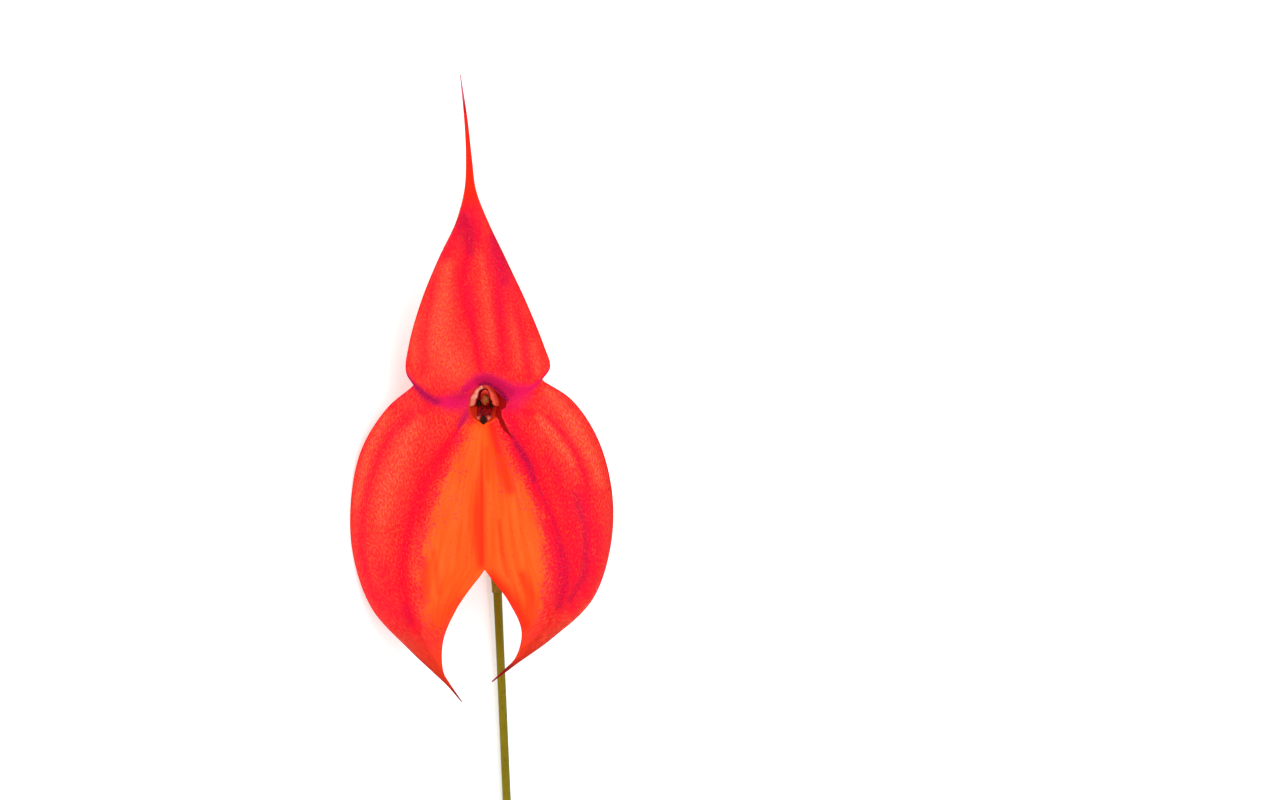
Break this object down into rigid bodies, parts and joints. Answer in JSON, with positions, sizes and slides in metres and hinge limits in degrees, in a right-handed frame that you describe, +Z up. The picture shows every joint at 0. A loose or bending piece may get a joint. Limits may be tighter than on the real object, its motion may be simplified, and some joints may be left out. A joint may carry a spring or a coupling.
{
  "type": "masdevallia orchid bloom",
  "caption": "Picked masdevallia orchid bloom: fused sepals with tapering tails round a small cup, a ribbed ovary, a bract and a long cut stem, lying on its back.",
  "frame": {"origin": "centre of the bounding box, at the surface that the bloom lies on", "axes": "+Z up from that surface; +Y from the cut end of the stem towards the tip of the hood sepal; +X to the side of the bloom that is raised, its right as seen from in front"},
  "size_m": [0.0482, 0.2674, 0.0412],
  "materials": {
    "sepal": "satin, finely warty",
    "petal": "waxy, translucent",
    "column": "waxy",
    "anther": "matt",
    "lip": "warty, satin",
    "ovary": "satin",
    "bract": "papery, matt",
    "stem": "satin"
  },
  "bodies": {
    "root": {"calyx": "sepal", "petal_left": "petal", "petal_right": "petal", "column": "column", "anther_cap": "anther", "lip": "lip", "ovary": "ovary", "floral_bract": "bract", "stem": "stem"}
  },
  "joints": []
}
